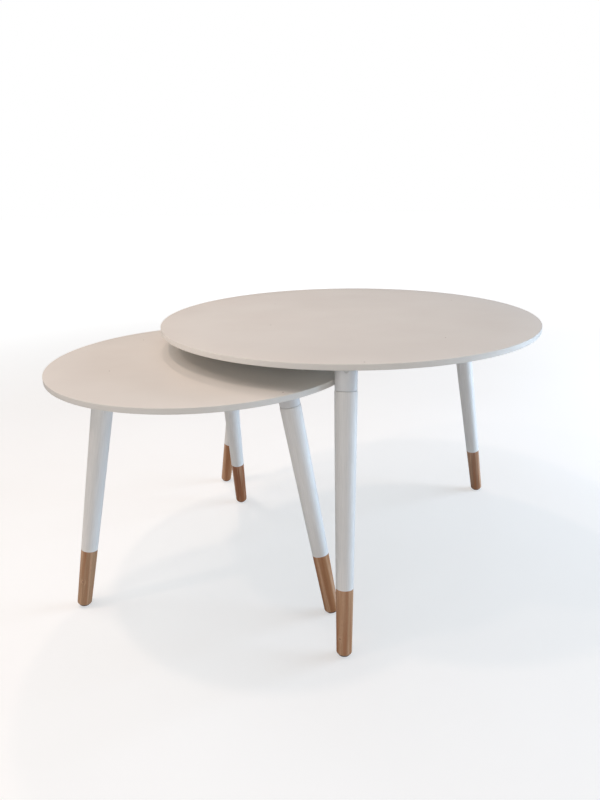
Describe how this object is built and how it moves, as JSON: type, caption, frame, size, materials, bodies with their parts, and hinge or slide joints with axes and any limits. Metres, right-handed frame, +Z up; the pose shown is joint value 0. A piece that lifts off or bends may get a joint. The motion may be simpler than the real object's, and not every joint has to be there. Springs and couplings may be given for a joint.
{
  "type": "nesting tables",
  "caption": "Pair of round side tables with white lacquered tops and splayed turned legs with bare wood tips; the smaller table parks partly under the larger.",
  "frame": {"origin": "middle of the parked pair's footprint, on the floor", "axes": "+X along the pair's longest side, from the small table towards the large one; +Y to the back, away from the large table's front leg; +Z up"},
  "size_m": [0.9806, 0.8686, 0.537],
  "materials": {
    "white_lacquered_board": "satin",
    "painted_beech": "satin",
    "bare_beech": "matte",
    "white_socket": "gloss",
    "zinc_plated_steel": "satin",
    "brass": "satin",
    "dark_plastic": "matte"
  },
  "bodies": {
    "large_table": {"large_top": "white_lacquered_board", "large_front_socket": "white_socket", "large_front_insert_nut": "brass", "large_front_hanger_bolt": "zinc_plated_steel", "large_front_leg": "painted_beech", "large_front_glide": "dark_plastic", "large_front_glide_nail": "zinc_plated_steel", "large_front_screw_1": "zinc_plated_steel", "large_front_screw_2": "zinc_plated_steel", "large_front_screw_3": "zinc_plated_steel", "large_right_socket": "white_socket", "large_right_insert_nut": "brass", "large_right_hanger_bolt": "zinc_plated_steel", "large_right_leg": "painted_beech", "large_right_glide": "dark_plastic", "large_right_glide_nail": "zinc_plated_steel", "large_right_screw_1": "zinc_plated_steel", "large_right_screw_2": "zinc_plated_steel", "large_right_screw_3": "zinc_plated_steel", "large_left_socket": "white_socket", "large_left_insert_nut": "brass", "large_left_hanger_bolt": "zinc_plated_steel", "large_left_leg": "painted_beech", "large_left_glide": "dark_plastic", "large_left_glide_nail": "zinc_plated_steel", "large_left_screw_1": "zinc_plated_steel", "large_left_screw_2": "zinc_plated_steel", "large_left_screw_3": "zinc_plated_steel"},
    "small_table": {"small_top": "white_lacquered_board", "small_left_socket": "white_socket", "small_left_insert_nut": "brass", "small_left_hanger_bolt": "zinc_plated_steel", "small_left_leg": "painted_beech", "small_left_glide": "dark_plastic", "small_left_glide_nail": "zinc_plated_steel", "small_left_screw_1": "zinc_plated_steel", "small_left_screw_2": "zinc_plated_steel", "small_left_screw_3": "zinc_plated_steel", "small_right_socket": "white_socket", "small_right_insert_nut": "brass", "small_right_hanger_bolt": "zinc_plated_steel", "small_right_leg": "painted_beech", "small_right_glide": "dark_plastic", "small_right_glide_nail": "zinc_plated_steel", "small_right_screw_1": "zinc_plated_steel", "small_right_screw_2": "zinc_plated_steel", "small_right_screw_3": "zinc_plated_steel", "small_back_socket": "white_socket", "small_back_insert_nut": "brass", "small_back_hanger_bolt": "zinc_plated_steel", "small_back_leg": "painted_beech", "small_back_glide": "dark_plastic", "small_back_glide_nail": "zinc_plated_steel", "small_back_screw_1": "zinc_plated_steel", "small_back_screw_2": "zinc_plated_steel", "small_back_screw_3": "zinc_plated_steel"}
  },
  "joints": [
    {"name": "small_table_slide", "type": "slide", "parent": "large_table", "child": "small_table", "axis": [-0.866, -0.5, 0], "range_m": [0, 0.4]}
  ]
}
